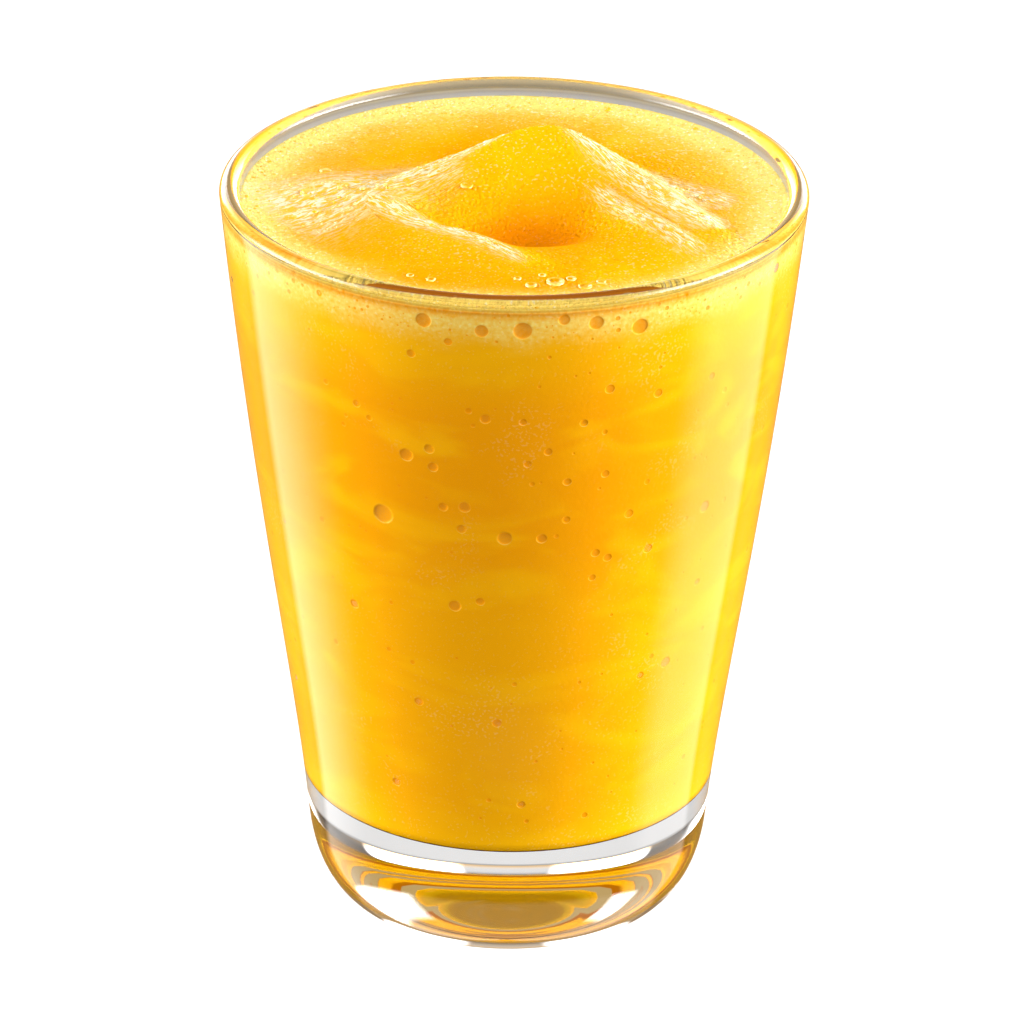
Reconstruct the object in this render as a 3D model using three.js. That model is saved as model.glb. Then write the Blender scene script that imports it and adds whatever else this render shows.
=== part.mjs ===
// A tapered drinking glass with a heavy base, filled almost to the brim with a thick mango smoothie.
// Millimetres, +Z up. The origin is the centre of the foot, on the table, and -Y is the front.
import * as THREE from 'three';

// Glass: overall sizes
const GLASS_HEIGHT = 117;
const RIM_RADIUS = 44; // outside of the wall, just under the rounded lip
const WALL = 3; // thickness of the wall
const LIP_CROWN = 1.2; // how far the rounded lip rises above the wall
const LIP_START = GLASS_HEIGHT - LIP_CROWN;

// Glass: the heavy base
const HEEL_RADIUS = 30.7; // outside of the glass at the top of the rounded heel
const HEEL_HEIGHT = 13;
const FOOT_RADIUS = 22;
const PUNT_RADIUS = 15; // the shallow hollow under the foot, inside the ring that it stands on
const PUNT_RISE = 0.3;
const FLOOR = 19.8; // top of the solid glass, where the drink starts
const FLOOR_FILLET = 2;

// Glass: the tapered side, a shallow S that leans out a little more half way up than at its ends
const END_LEAN = 0.1; // outward slope of the side at the heel and at the lip
const HEEL_PULL = 25; // length of the curve's handle at the heel
const LIP_PULL = 53; // length of its handle at the lip
const ROUND_PULL = 0.55; // share of a quarter round that its handles span

// Smoothie: its level at the wall, and the whipped surface, seen from above
const LEVEL = 114.2;
const GAP = 0.3; // between the smoothie and the glass
const CALM_START = 30; // radius where the whipped relief starts to die out towards the wall
const RIDGE_POWER = 1.9; // of the fall beside a ridge: less is crisper, 2 is a bell
const CREST = { x: 5, y: 14, rise: 6.4, frontWidth: 9, backWidth: 4.5, fadeFrom: -30, fadeTo: -16 };
const CREST_LEFT = { bow: 0.023, spread: 14 };
const CREST_RIGHT = { bow: 0.043, spread: 11.5 };
const HOLLOW = { x: 2, y: -7, depth: 4.6, widthX: 12, widthY: 7 };
// Each fold runs from one point to another, steep on its left side as one walks along it
const FRONT_FOLD = { from: [-18, -6], to: [4, -27], rise: 2.2, steepWidth: 3.6, gentleWidth: 8 };
const SIDE_FOLD = { from: [11, 3], to: [26, -19], rise: 1.6, steepWidth: 3.5, gentleWidth: 4.5 };
const FOLDS = [FRONT_FOLD, SIDE_FOLD];
const FROTH_MOUND = { x: -26, y: 2, rise: 1.1, width: 8 };

// Smoothness of the faceted surfaces
const SEGMENTS = 60; // around the axis
const SIDE_STEPS = 8;
const HEEL_STEPS = 8;
const ROUND_STEPS = 5;
const LIP_STEPS = 8;
const SURFACE_RINGS = 20;
const LEAST_STEP = 1; // between rows of points on the inside of the glass
const HALVING_END = 1e-7; // where the search for a point on the side's curve stops

// Points of a profile: x is the distance from the axis, y is the height.
const point = (radius, height) => new THREE.Vector2(radius, height);

const heelCurve = new THREE.CubicBezierCurve(
  point(FOOT_RADIUS, 0),
  point(FOOT_RADIUS + ROUND_PULL * (HEEL_RADIUS - FOOT_RADIUS), 0),
  point(HEEL_RADIUS - END_LEAN * ROUND_PULL * HEEL_HEIGHT, HEEL_HEIGHT * (1 - ROUND_PULL)),
  point(HEEL_RADIUS, HEEL_HEIGHT),
);
const sideCurve = new THREE.CubicBezierCurve(
  point(HEEL_RADIUS, HEEL_HEIGHT),
  point(HEEL_RADIUS + END_LEAN * HEEL_PULL, HEEL_HEIGHT + HEEL_PULL),
  point(RIM_RADIUS - END_LEAN * LIP_PULL, LIP_START - LIP_PULL),
  point(RIM_RADIUS, LIP_START),
);
const sidePoints = sideCurve.getPoints(SIDE_STEPS);

// Outside radius of the glass at a height on its side, by halving the curve's parameter.
function sideRadius(height) {
  let low = 0;
  let high = 1;
  while (high - low > HALVING_END) {
    const middle = (low + high) / 2;
    if (sideCurve.getPoint(middle).y < height) low = middle;
    else high = middle;
  }
  return sideCurve.getPoint(low).x;
}

// Evenly spaced values from one number to another, both ends included.
function spaced(from, to, steps) {
  return Array.from({ length: steps + 1 }, (_, i) => from + ((to - from) * i) / steps);
}

// The outside of the glass, from the axis under the foot up to the lip.
function outsideProfile() {
  const punt = spaced(0, PUNT_RADIUS, ROUND_STEPS).map((r) =>
    point(r, PUNT_RISE * (1 - (r / PUNT_RADIUS) ** 2)),
  );
  return [...punt, ...heelCurve.getPoints(HEEL_STEPS), ...sidePoints.slice(1)];
}

// The inside of the glass from the axis up to a height, moved in by an inset for what fills it.
function bowlProfile(top, inset) {
  const wallStart = FLOOR + FLOOR_FILLET;
  const cornerRadius = sideRadius(wallStart) - WALL - FLOOR_FILLET;
  const fillet = FLOOR_FILLET - inset;
  const corner = spaced(0, Math.PI / 2, ROUND_STEPS).map((turn) =>
    point(cornerRadius + fillet * Math.sin(turn), wallStart - fillet * Math.cos(turn)),
  );
  const isBetween = (z) => z > wallStart + LEAST_STEP && z < top - LEAST_STEP;
  const heights = sidePoints.map((p) => p.y).filter(isBetween);
  const wall = [...heights, top].map((z) => point(sideRadius(z) - WALL - inset, z));
  return [point(0, FLOOR + inset), ...corner, ...wall];
}

// The rounded lip, from the outside of the wall over to its inside.
function lipProfile() {
  const middle = RIM_RADIUS - WALL / 2;
  return spaced(0, Math.PI, LIP_STEPS).map((turn) =>
    point(middle + (WALL / 2) * Math.cos(turn), LIP_START + LIP_CROWN * Math.sin(turn)),
  );
}

// Turns a profile round the axis, with +Z up.
function turned(profile) {
  return new THREE.LatheGeometry(profile, SEGMENTS).rotateX(Math.PI / 2);
}

function glassTumbler() {
  const bowl = bowlProfile(LIP_START, 0).reverse();
  const profile = [...outsideProfile(), ...lipProfile().slice(1), ...bowl.slice(1)];
  const clearGlass = new THREE.MeshStandardMaterial({
    color: 0xf2f6f5,
    roughness: 0.02,
    metalness: 0,
    transparent: true,
    opacity: 0.3,
  });
  const mesh = new THREE.Mesh(turned(profile), clearGlass);
  mesh.name = 'glass_tumbler';
  return mesh;
}

const bell = (distance, width) => Math.exp(-((distance / width) ** 2));
const ridge = (distance, width) => Math.exp(-(Math.abs(distance / width) ** RIDGE_POWER));

// The main crest is a bow in plan, open to the front, with its peak in the middle and a steep back.
// It dies out at its left end.
function crestHeight(x, y) {
  const along = x - CREST.x;
  const arm = along < 0 ? CREST_LEFT : CREST_RIGHT;
  const across = y - (CREST.y - arm.bow * along ** 2);
  const width = across > 0 ? CREST.backWidth : CREST.frontWidth;
  const fade = THREE.MathUtils.smoothstep(x, CREST.fadeFrom, CREST.fadeTo);
  return ((CREST.rise * fade) / (1 + (along / arm.spread) ** 2)) * ridge(across, width);
}

function hollowHeight(x, y) {
  return -HOLLOW.depth * bell(x - HOLLOW.x, HOLLOW.widthX) * bell(y - HOLLOW.y, HOLLOW.widthY);
}

// A straight fold that is highest half way along, with one steep and one gentle side.
function foldHeight(fold, x, y) {
  const [runX, runY] = [fold.to[0] - fold.from[0], fold.to[1] - fold.from[1]];
  const length = Math.hypot(runX, runY);
  const [dx, dy] = [x - fold.from[0], y - fold.from[1]];
  const along = (dx * runX + dy * runY) / length;
  const left = (dy * runX - dx * runY) / length;
  const width = left > 0 ? fold.steepWidth : fold.gentleWidth;
  return fold.rise * bell(along - length / 2, length / 2) * ridge(left, width);
}

function moundHeight(x, y) {
  return FROTH_MOUND.rise * bell(Math.hypot(x - FROTH_MOUND.x, y - FROTH_MOUND.y), FROTH_MOUND.width);
}

// Height of the smoothie's surface: flat at the wall, whipped into a crest and folds in the middle.
function surfaceHeight(x, y, brimRadius) {
  const folds = FOLDS.reduce((sum, fold) => sum + foldHeight(fold, x, y), 0);
  const relief = crestHeight(x, y) + hollowHeight(x, y) + folds + moundHeight(x, y);
  const calm = THREE.MathUtils.smoothstep(Math.hypot(x, y), CALM_START, brimRadius);
  return LEVEL + (1 - calm) * relief;
}

function mangoSmoothie() {
  const side = bowlProfile(LEVEL, GAP);
  const brimRadius = side.at(-1).x;
  const top = spaced(brimRadius, 0, SURFACE_RINGS).map((r) => point(r, LEVEL));
  const geometry = turned([...side, ...top.slice(1)]);
  const position = geometry.attributes.position;
  for (let i = 0; i < position.count; i++) {
    const rowLength = side.length + top.length - 1;
    if (i % rowLength < side.length - 1) continue;
    position.setZ(i, surfaceHeight(position.getX(i), position.getY(i), brimRadius));
  }
  const mangoYellow = new THREE.MeshStandardMaterial({ color: 0xf7b512, roughness: 0.3, metalness: 0 });
  const mesh = new THREE.Mesh(geometry, mangoYellow);
  mesh.name = 'mango_smoothie';
  return mesh;
}

const drink = new THREE.Group();
drink.name = 'mango_smoothie_in_a_glass';
drink.add(glassTumbler(), mangoSmoothie());

export default drink;
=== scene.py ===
import math
import random
from typing import NamedTuple

import bmesh
import bpy
import numpy as np
from bpy.props import FloatProperty, FloatVectorProperty, IntProperty, PointerProperty
from mathutils import Matrix, Vector, noise
from mathutils.geometry import delaunay_2d_cdt


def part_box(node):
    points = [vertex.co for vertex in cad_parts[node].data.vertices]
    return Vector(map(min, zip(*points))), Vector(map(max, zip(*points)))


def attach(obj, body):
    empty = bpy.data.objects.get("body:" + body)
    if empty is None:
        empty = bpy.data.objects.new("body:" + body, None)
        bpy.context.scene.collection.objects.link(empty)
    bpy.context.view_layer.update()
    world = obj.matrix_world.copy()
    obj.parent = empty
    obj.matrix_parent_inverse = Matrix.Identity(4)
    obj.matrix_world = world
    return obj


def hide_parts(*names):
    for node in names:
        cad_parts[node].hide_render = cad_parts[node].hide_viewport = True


bl_info = {
    "name": "Mango smoothie in a glass",
    "version": (1, 0, 0),
    "blender": (4, 5, 0),
    "location": "3D View > Sidebar > Smoothie",
    "description": "Builds a thick mango smoothie with a whipped top in a clear heavy-based tumbler",
    "category": "Add Mesh",
}

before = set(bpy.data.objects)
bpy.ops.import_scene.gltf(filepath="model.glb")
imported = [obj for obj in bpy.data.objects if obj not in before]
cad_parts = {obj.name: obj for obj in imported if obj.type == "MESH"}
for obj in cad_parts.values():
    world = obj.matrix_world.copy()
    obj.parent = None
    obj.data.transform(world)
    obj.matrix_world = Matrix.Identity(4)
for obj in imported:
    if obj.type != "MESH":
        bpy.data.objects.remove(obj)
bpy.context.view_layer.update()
GLASS_LOW, GLASS_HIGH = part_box("glass_tumbler")

# Lengths inside the shape functions are in millimetres, and pieces are made in metres.
MM = 0.001
FULL_TURN = 2 * math.pi

# Side of the glass: a shallow S from the rounded heel to the lip, which leans out at both ends alike.
END_LEAN = 0.1
HEEL_PULL = 25
LIP_PULL = 53
ROUND_PULL = 0.55
CURVE_SAMPLES = 600

# Smoothness of the glass.
GLASS_SEGMENTS = 240
PUNT_STEPS = 16
HEEL_STEPS = 22
SIDE_STEPS = 64
LIP_STEPS = 22
CORNER_STEPS = 18
FLOOR_STEPS = 8

# The whipped surface, seen from above: x to the right and y away from the viewer.
RIDGE_POWER = 1.9
CREST = {"x": 5, "y": 14, "front": 9, "back": 4.5, "fade": (-30, -16)}
CREST_LEFT = {"bow": 0.023, "spread": 14}
CREST_RIGHT = {"bow": 0.043, "spread": 11.5}
HOLLOW = {"x": 2, "y": -7, "depth": 4.6, "width_x": 12, "width_y": 7}
FRONT_FOLD = {"start": (-18, -6), "end": (4, -27), "rise": 2.2, "steep": 3.6, "gentle": 8}
SIDE_FOLD = {"start": (11, 3), "end": (26, -19), "rise": 1.6, "steep": 3.5, "gentle": 4.5}
FROTH_MOUND = {"x": -26, "y": 2, "rise": 1.1, "width": 8}
CALM_START = 30
MENISCUS_RISE = 0.4
MENISCUS_WIDTH = 1.0

# Froth on the top: a collar along the wall, deeper at the back, with a drifting edge and a fine grain.
DRIFT_SIZE = 9
GRAIN_SIZE = 0.9
GRAIN_LAYER = 4.0
GRAIN_RISE = 0.06
GRAIN_MARGIN = 0.5
COLLAR_DEPTH = 10
COLLAR_BACK_DEPTH = 7
COLLAR_BACK = (-8, 14)
COLLAR_DRIFT = 2.5
COLLAR_FROTH = 0.4
BRIM_FROTH = 0.9
BRIM_BAND = 8

# Painted light: a paler puree on the heights and at the right, where more light falls, with its largest
# share first. Painted shade: a darker puree in hollows.
LIGHT_ON_HEIGHTS = (0.8, -1.5, 4.5)
LIGHT_AT_RIGHT = (0.5, 6, 18)
LIGHT_IN_FOAM = 0.9
SHADE_IN_HOLLOWS = (1.2, 4.2)

# Foam threads: length, width and share of the waves that part them, and how they wander.
THREAD_WAVES = ((6.0, 1.3, 0.6), (3.0, 0.7, 0.4))
THREAD_SHARPNESS = 3.2
THREAD_LEVEL = 0.3
THREAD_FROTH = 0.4
WANDER = 0.6
WANDER_LENGTH = 5
WANDER_WIDTH = 3
PATCH_SPREAD = 0.75
PATCH_TRACE = 0.02
PATCH_OVERRUN = 2
PATCH_FADE = 3

# Smoothness of the drink: the top is a square grid bent into a disc, the wall a fine net round bubbles.
TOP_CELLS = 208
WALL_COLUMNS = 200
WALL_ROW = 1.6
BAND_DEPTH = 7
BAND_COLUMNS = 400
BAND_ROW = 0.7

# Order of the drink's materials, and where the painted shadow at the bottom edge and the foam start and end.
MATERIAL_TOP, MATERIAL_WALL, MATERIAL_BUBBLE, MATERIAL_FOAM, MATERIAL_EDGE_SHADOW = range(5)
EDGE_LOW, EDGE_HIGH = 0.02, 0.4
FOAM_FACE = 0.2

# Bubbles at random against the glass: depths under the brim or height over the floor, and widths.
LARGE_SHARE = 8
LARGE_BAND, LARGE_WIDTHS = (5, 1.5), (0.8, 2.6)
FINE_BAND, FINE_WIDTHS = (4.5, 0.6), (0.25, 0.9)
LOWEST_BUBBLE, HIGHEST_BUBBLE = 3, 5
SCATTER_WIDTHS = (0.45, 1.5)

# Colours of the drink's side: the froth band under the brim, painted shade at its top, and painted light at
# some heights, where more light falls.
BAND_WAVE = 1.2
BAND_WAVE_LENGTH, BAND_WAVE_HEIGHT = 5, 3
BAND_EDGES = (7, 1)
BAND_FROTH = 0.65
BRIM_SHADE_EDGES = (2.2, 0.8)
BRIM_SHADE_FROTH = 0.75
BRIM_SHADE_SHARE = 0.7
BUBBLE_SHADE = 0.45
BUBBLE_LOSS = 0.8
LIT_HEIGHTS = ((0.5, 94, 110), (0.3, 78, 60), (0.4, 30, 18))


class FoamStreaks(NamedTuple):
    """A patch of foam drawn out into threads along a line, with its half width at both ends."""

    start: tuple
    end: tuple
    start_width: float
    end_width: float
    amount: float
    relief: float


FOAM_PATCHES = (
    FoamStreaks((-36, -6), (-9, 9), 13, 4.5, 1.0, 0.5),
    FoamStreaks((-19, 3), (0, 16), 2.6, 1.2, 1.0, 0.3),
    FoamStreaks((-22, -3), (1, -25), 3.4, 1.6, 1.0, 0.4),
    FoamStreaks((8, 15), (30, -11), 1.8, 4.2, 1.0, 0.4),
    FoamStreaks((15, 12), (32, -1), 2.4, 4.4, 0.85, 0.4),
    FoamStreaks((12, 2), (27, -20), 1.6, 2.6, 0.8, 0.4),
)


class Bubble(NamedTuple):
    """A bubble on the glass: degrees to the right of the front, height and width in millimetres."""

    turn: float
    height: float
    width: float


FROTH_BUBBLES = (
    Bubble(-18, 112.0, 2.3),
    Bubble(-6.2, 111.1, 2.0),
    Bubble(-2.6, 111.2, 2.0),
    Bubble(2.0, 111.3, 2.7),
    Bubble(7.0, 112.2, 2.0),
    Bubble(10.2, 112.9, 1.7),
    Bubble(16.8, 112.0, 2.2),
    Bubble(20.2, 110.5, 2.0),
    Bubble(26.2, 110.4, 2.5),
    Bubble(30.3, 111.3, 2.0),
    Bubble(-13, 108.9, 1.2),
)
WALL_BUBBLES = (
    Bubble(-29.6, 78, 3.0),
    Bubble(-33, 80.5, 1.9),
    Bubble(-23, 89, 2.0),
    Bubble(-17.7, 90.6, 1.5),
    Bubble(-17, 87.6, 1.5),
    Bubble(-5.5, 96.5, 1.5),
    Bubble(-9, 97.7, 1.0),
    Bubble(-15, 81, 1.4),
    Bubble(-10.2, 81.3, 1.7),
    Bubble(-11, 77.5, 1.4),
    Bubble(-1.3, 76.3, 2.1),
    Bubble(7, 76.2, 1.5),
    Bubble(-13, 64, 1.8),
    Bubble(33, 72, 1.5),
    Bubble(49, 76, 1.9),
    Bubble(43, 50.3, 1.8),
    Bubble(22.7, 71.8, 1.3),
    Bubble(3.5, 89, 1.1),
    Bubble(7.8, 91, 1.2),
    Bubble(-20.9, 106.2, 1.3),
)


# Bubbles that stand on the top: x, y and radius of the large ones, and the span of the small ones.
TOP_BUBBLES = (
    (-30.6, 0.1, 1.4), (-28.4, 9.5, 1.0), (-26.5, 3.0, 0.7), (-7.1, 2.5, 1.0), (-33, 4, 0.8),
    (6.1, -31.4, 1.4), (10.4, -32.4, 1.1), (2.6, -32.6, 0.9), (8.4, -30.2, 0.8), (12.8, -30.6, 0.8),
    (4.2, -29.6, 0.6), (14.6, -32, 0.6), (0.6, -30.8, 0.6), (-12, -30.5, 0.8), (-15, -29, 0.6),
)
FROTH_CROWD = 1.5
FOAM_CROWD = 0.5
FOAM_CROWD_POWER = 2
DOME_BIAS = 4
DOME_RINGS = ((1.0, -0.3), (0.95, 0.0), (0.72, 0.2), (0.36, 0.3))
CUP_RINGS = ((1.0, -0.1), (0.94, 0.13), (0.82, 0.16), (0.7, 0.03), (0.35, -0.02))
LARGE_BUBBLE = 0.5
DOME_SIDES = 12
DOME_SMALL = 0.09
DOME_SPAN = 0.34
DOME_MARGIN = 0.9


def spaced(start, end, steps):
    """Evenly spaced values from start to end, both included."""
    return np.linspace(start, end, steps + 1)


def bell(distance, width):
    return np.exp(-((distance / width) ** 2))


def ridge(distance, width):
    """One on a ridge's line and falling off beside it, with a crisper top than a bell."""
    return np.exp(-(np.abs(distance / width) ** RIDGE_POWER))


def smoothstep(value, low, high):
    t = np.clip((value - low) / (high - low), 0, 1)
    return t * t * (3 - 2 * t)


def noise_field(*coordinates):
    """Smooth noise from about -1 to 1 at points given in units of the features' size."""
    return np.array([noise.noise(Vector(p)) for p in np.stack(coordinates, -1)])


def bezier(start, start_handle, end_handle, end, steps):
    """Points along a cubic curve."""
    t = spaced(0, 1, steps)[:, None]
    ends = (1 - t) ** 3 * np.array(start) + t**3 * np.array(end)
    handles = (1 - t) * np.array(start_handle) + t * np.array(end_handle)
    return ends + 3 * t * (1 - t) * handles


def line_coordinates(start, end, x, y):
    """Distance along a line, distance to its left, and its length."""
    run = np.subtract(end, start)
    length = np.hypot(*run)
    dx, dy = x - start[0], y - start[1]
    along = (dx * run[0] + dy * run[1]) / length
    left = (dy * run[0] - dx * run[1]) / length
    return along, left, length


class GlassShape:
    """The tumbler's outline in millimetres, from the sizes in the panel."""

    def __init__(self, sizes):
        self.height = sizes.height / MM
        self.rim = sizes.rim_radius / MM
        self.wall = sizes.wall / MM
        self.crown = sizes.lip_crown / MM
        self.heel_radius = sizes.heel_radius / MM
        self.heel_height = sizes.heel_height / MM
        self.foot = sizes.foot_radius / MM
        self.punt_radius = sizes.punt_radius / MM
        self.punt_rise = sizes.punt_rise / MM
        self.floor = sizes.floor / MM
        self.fillet = sizes.floor_fillet / MM
        self.lip_start = self.height - self.crown
        side = bezier(
            (self.heel_radius, self.heel_height),
            (self.heel_radius + END_LEAN * HEEL_PULL, self.heel_height + HEEL_PULL),
            (self.rim - END_LEAN * LIP_PULL, self.lip_start - LIP_PULL),
            (self.rim, self.lip_start),
            CURVE_SAMPLES,
        )
        self.side_radii, self.side_heights = side.T

    def side_radius(self, z):
        return np.interp(z, self.side_heights, self.side_radii)

    def bowl_radius(self, z):
        return self.side_radius(z) - self.wall

    def outside(self):
        """Radius and height from the axis under the foot up to the lip."""
        r = spaced(0, self.punt_radius, PUNT_STEPS)
        punt = np.c_[r, self.punt_rise * (1 - (r / self.punt_radius) ** 2)]
        pull_in = ROUND_PULL * (self.heel_radius - self.foot)
        pull_down = ROUND_PULL * self.heel_height
        heel = bezier(
            (self.foot, 0),
            (self.foot + pull_in, 0),
            (self.heel_radius - END_LEAN * pull_down, self.heel_height - pull_down),
            (self.heel_radius, self.heel_height),
            HEEL_STEPS,
        )
        z = spaced(self.heel_height, self.lip_start, SIDE_STEPS)
        side = np.c_[self.side_radius(z), z]
        return np.vstack([punt, heel, side[1:]])

    def lip(self):
        turn = spaced(0, math.pi, LIP_STEPS)
        half = self.wall / 2
        return np.c_[self.rim - half + half * np.cos(turn), self.lip_start + self.crown * np.sin(turn)]

    def bowl_bottom(self, reach):
        """Floor and inner corner of the bowl, from the axis out, moved into the glass by a reach."""
        start = self.floor + self.fillet
        centre = self.bowl_radius(start) - self.fillet
        round_to = self.fillet + reach
        r = spaced(0, centre, FLOOR_STEPS)
        floor = np.c_[r, np.full_like(r, self.floor - reach)]
        turn = spaced(0, math.pi / 2, CORNER_STEPS)
        corner = np.c_[centre + round_to * np.sin(turn), start - round_to * np.cos(turn)]
        return np.vstack([floor, corner[1:]])

    def profile(self):
        """Closed outline of the glass, from the axis under the foot round to the axis on its floor."""
        z = spaced(self.floor + self.fillet, self.lip_start, SIDE_STEPS)
        wall = np.c_[self.bowl_radius(z), z]
        inside = np.vstack([self.bowl_bottom(0), wall[1:]])[::-1]
        return np.vstack([self.outside(), self.lip()[1:], inside[1:]])


class WhippedTop:
    """Heights and froth of the smoothie's surface in millimetres."""

    def __init__(self, sizes, brim):
        self.level = sizes.level / MM
        self.rise = sizes.peak_rise / MM
        self.brim = brim

    def crest(self, x, y):
        along = x - CREST["x"]
        bow = np.where(along < 0, CREST_LEFT["bow"], CREST_RIGHT["bow"])
        spread = np.where(along < 0, CREST_LEFT["spread"], CREST_RIGHT["spread"])
        across = y - (CREST["y"] - bow * along**2)
        width = np.where(across > 0, CREST["back"], CREST["front"])
        height = self.rise * smoothstep(x, *CREST["fade"]) / (1 + (along / spread) ** 2)
        return height * ridge(across, width)

    def hollow(self, x, y):
        side = bell(x - HOLLOW["x"], HOLLOW["width_x"])
        return -HOLLOW["depth"] * side * bell(y - HOLLOW["y"], HOLLOW["width_y"])

    def fold(self, fold, x, y):
        """A straight ridge, highest half way along, steep on its left as one walks along it."""
        along, left, length = line_coordinates(fold["start"], fold["end"], x, y)
        width = np.where(left > 0, fold["steep"], fold["gentle"])
        return fold["rise"] * bell(along - length / 2, length / 2) * ridge(left, width)

    def mound(self, x, y):
        distance = np.hypot(x - FROTH_MOUND["x"], y - FROTH_MOUND["y"])
        return FROTH_MOUND["rise"] * bell(distance, FROTH_MOUND["width"])

    def streaks(self, patch, x, y):
        """Threads of drawn-out foam in a patch, how far each point is in it, and its place along them."""
        along, left, length = line_coordinates(patch.start, patch.end, x, y)
        part = np.clip(along / length, 0, 1)
        half_width = patch.start_width + (patch.end_width - patch.start_width) * part
        across = left / half_width
        start = smoothstep(along, -PATCH_OVERRUN, PATCH_FADE)
        end = smoothstep(along, length + PATCH_OVERRUN, length - PATCH_FADE)
        inside = bell(across, PATCH_SPREAD) * (start * end)
        threads = np.zeros_like(inside)
        near = inside > PATCH_TRACE
        middle_width = (patch.start_width + patch.end_width) / 2
        lane = across[near] * middle_width
        layer = np.full(lane.shape, patch.start[0])
        wander = WANDER * noise_field(along[near] / WANDER_LENGTH, lane / WANDER_WIDTH, layer)
        for wave_length, wave_width, share in THREAD_WAVES:
            layer = np.full(lane.shape, wave_length)
            wave = noise_field(along[near] / wave_length, lane / wave_width + wander, layer)
            threads[near] += share * np.clip(1 - THREAD_SHARPNESS * np.abs(wave), 0, 1)
        flow = np.c_[along, across * middle_width, np.full_like(along, patch.start[0])]
        return threads, inside, flow

    def relief(self, x, y):
        relief = self.crest(x, y) + self.hollow(x, y) + self.mound(x, y)
        return relief + self.fold(FRONT_FOLD, x, y) + self.fold(SIDE_FOLD, x, y)

    def surface(self, x, y):
        """Height of the surface, its shares of pale froth, threads, painted shade and painted light, and the
        threads' flow.
        """
        radius = np.hypot(x, y)
        calm = smoothstep(radius, CALM_START, self.brim)
        meniscus = MENISCUS_RISE * np.exp(-(self.brim - radius) / MENISCUS_WIDTH)
        relief = (1 - calm) * self.relief(x, y)
        height = self.level + relief + meniscus
        drift = noise_field(x / DRIFT_SIZE, y / DRIFT_SIZE, np.zeros_like(x))
        grain = noise_field(x / GRAIN_SIZE, y / GRAIN_SIZE, np.full_like(x, GRAIN_LAYER))
        inner = self.brim - COLLAR_DEPTH - COLLAR_BACK_DEPTH * smoothstep(y, *COLLAR_BACK)
        collar = smoothstep(radius + COLLAR_DRIFT * drift, inner, self.brim)
        at_brim = smoothstep(radius + drift, self.brim - BRIM_BAND, self.brim)
        froth = COLLAR_FROTH * collar + BRIM_FROTH * at_brim
        # Painted light on the crest's heights and on the right side, where more light falls, and painted
        # shade in the hollows.
        lit_heights = LIGHT_ON_HEIGHTS[0] * smoothstep(relief, *LIGHT_ON_HEIGHTS[1:])
        lit_right = LIGHT_AT_RIGHT[0] * smoothstep(x, *LIGHT_AT_RIGHT[1:])
        painted_light = np.maximum(lit_heights, lit_right)
        painted_shade = smoothstep(-relief, *SHADE_IN_HOLLOWS)
        streak = np.zeros_like(x)
        flow = np.zeros((len(x), 3))
        height = height + GRAIN_RISE * collar * grain * (radius < self.brim - GRAIN_MARGIN)
        for patch in FOAM_PATCHES:
            threads, inside, patch_flow = self.streaks(patch, x, y)
            height = height + patch.relief * inside * (threads - THREAD_LEVEL) * (1 - calm)
            froth = np.maximum(froth, THREAD_FROTH * patch.amount * inside * threads)
            nearer = patch.amount * inside > streak
            streak = np.where(nearer, patch.amount * inside, streak)
            flow = np.where(nearer[:, None], patch_flow, flow)
        # Painted light on the foam patches as well.
        painted_light = np.maximum(painted_light, LIGHT_IN_FOAM * streak)
        return height, np.clip(froth, 0, 1), streak, painted_shade, painted_light, flow


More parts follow.
